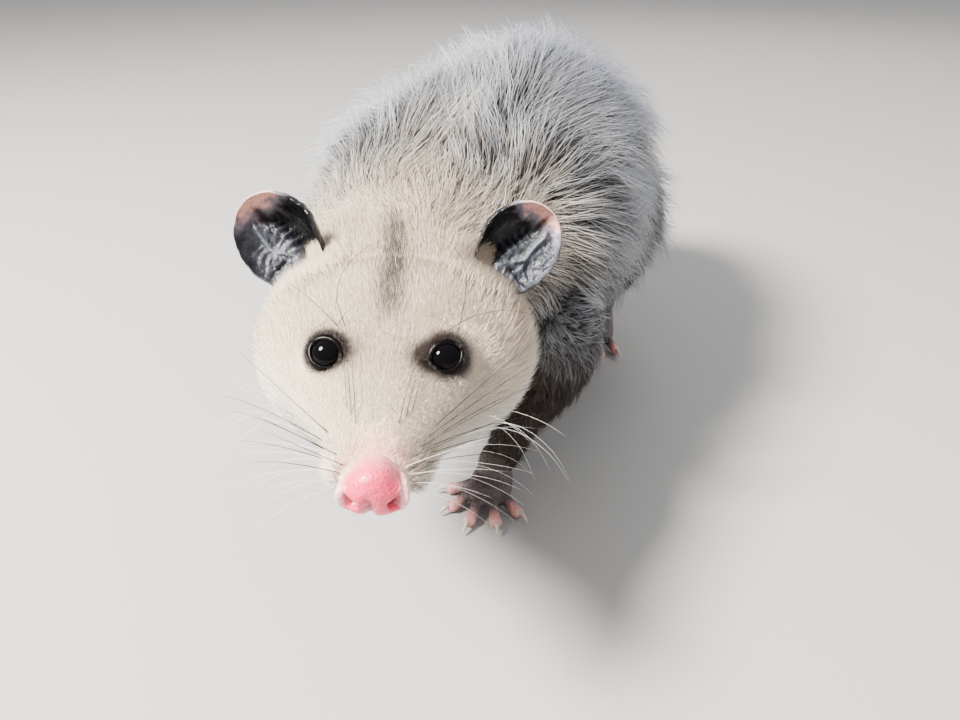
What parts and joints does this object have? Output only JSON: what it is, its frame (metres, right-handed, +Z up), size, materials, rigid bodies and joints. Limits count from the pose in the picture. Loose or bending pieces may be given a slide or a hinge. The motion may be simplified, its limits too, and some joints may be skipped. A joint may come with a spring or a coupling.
{
  "type": "opossum figure",
  "caption": "Life-size Virginia opossum standing on all fours with its head raised and turned to its left, shaggy grey coat, pale face and bare tail laid on the floor.",
  "frame": {"origin": "middle of the footprint, on the floor the feet and tail rest on", "axes": "+Z up, -Y the way the body faces, +X the animal's left"},
  "size_m": [0.1634, 0.6606, 0.1926],
  "materials": {
    "face": "short cream-white fur",
    "coat": "long grizzled fur, white guard hairs over dark-tipped underfur",
    "ruff": "dense pale grey fur",
    "limb": "short blackish-brown fur",
    "ear": "bare, thin and leathery, slightly glossy",
    "eye": "wet gloss black",
    "nose": "moist bare skin, finely grained",
    "foot": "bare grey-pink skin with pink toe tips",
    "tail_fur": "blackish fur",
    "tail_skin": "finely scaled bare skin"
  },
  "bodies": {
    "root": {"head": "face", "nose": "nose", "eye_left": "eye", "eye_right": "eye", "ear_left": "ear", "ear_right": "ear", "neck": "ruff", "torso": "coat", "front_left_upper_leg": "limb", "front_left_lower_leg": "limb", "front_left_foot": "foot", "front_right_upper_leg": "limb", "front_right_lower_leg": "limb", "front_right_foot": "foot", "hind_left_upper_leg": "limb", "hind_left_lower_leg": "limb", "hind_left_foot": "foot", "hind_right_upper_leg": "limb", "hind_right_lower_leg": "limb", "hind_right_foot": "foot", "tail_root": "tail_fur", "tail_middle": "tail_skin", "tail_tip": "tail_skin"}
  },
  "joints": []
}
